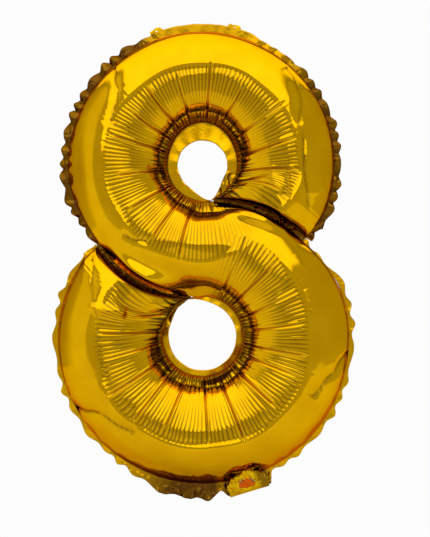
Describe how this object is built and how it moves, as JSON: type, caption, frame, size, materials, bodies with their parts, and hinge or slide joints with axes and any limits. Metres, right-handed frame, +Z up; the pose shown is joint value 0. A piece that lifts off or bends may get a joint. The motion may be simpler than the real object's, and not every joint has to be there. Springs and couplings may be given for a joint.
{
  "type": "foil number balloon",
  "caption": "Inflated gold foil balloon in the shape of the digit eight, an S-shaped tube sealed round two holes, with hanging tabs and a folded filling tail.",
  "frame": {"origin": "centre of the whole object's box, on the plane of the outer seal", "axes": "+Z up along the digit's height, +X to the reader's right, the readable front faces -Y"},
  "size_m": [0.548, 0.1718, 0.8598],
  "materials": {
    "gold_foil": "mirror-bright gold metallised film, pleated towards the holes",
    "seal_foil": "gold metallised film, two plies heat sealed together, puckered and flat-ribbed",
    "valve_film": "clear thin film",
    "valve_ink": "printed orange-red heat-proof ink"
  },
  "bodies": {
    "envelope": {"front_panel": "gold_foil", "back_panel": "gold_foil", "perimeter_seam": "seal_foil", "upper_hole_seam": "seal_foil", "lower_hole_seam": "seal_foil", "upper_divider_seam": "seal_foil", "lower_divider_seam": "seal_foil", "valve_front_film": "valve_film", "valve_back_film": "valve_film"},
    "filling_tail": {"tail_front_ply": "gold_foil", "tail_back_ply": "gold_foil", "tail_side_seals": "seal_foil", "mouth_front_film": "valve_film", "mouth_back_film": "valve_film", "valve_ink_patch": "valve_ink"},
    "left_tab": {"left_hanging_tab": "gold_foil"},
    "right_tab": {"right_hanging_tab": "gold_foil"}
  },
  "joints": [
    {"name": "tail_fold", "type": "hinge", "parent": "envelope", "child": "filling_tail", "pos_m": [0.08517, 0, -0.41351], "axis": [0.9563, 0, 0.2924], "range_deg": [0, 250]},
    {"name": "left_tab_fold", "type": "hinge", "parent": "envelope", "child": "left_tab", "pos_m": [-0.08181, 0, 0.41067], "axis": [-0.9455, 0, -0.3256], "range_deg": [-160, 50]},
    {"name": "right_tab_fold", "type": "hinge", "parent": "envelope", "child": "right_tab", "pos_m": [0.05653, 0, 0.41792], "axis": [-0.9744, 0, 0.225], "range_deg": [-160, 50]}
  ]
}
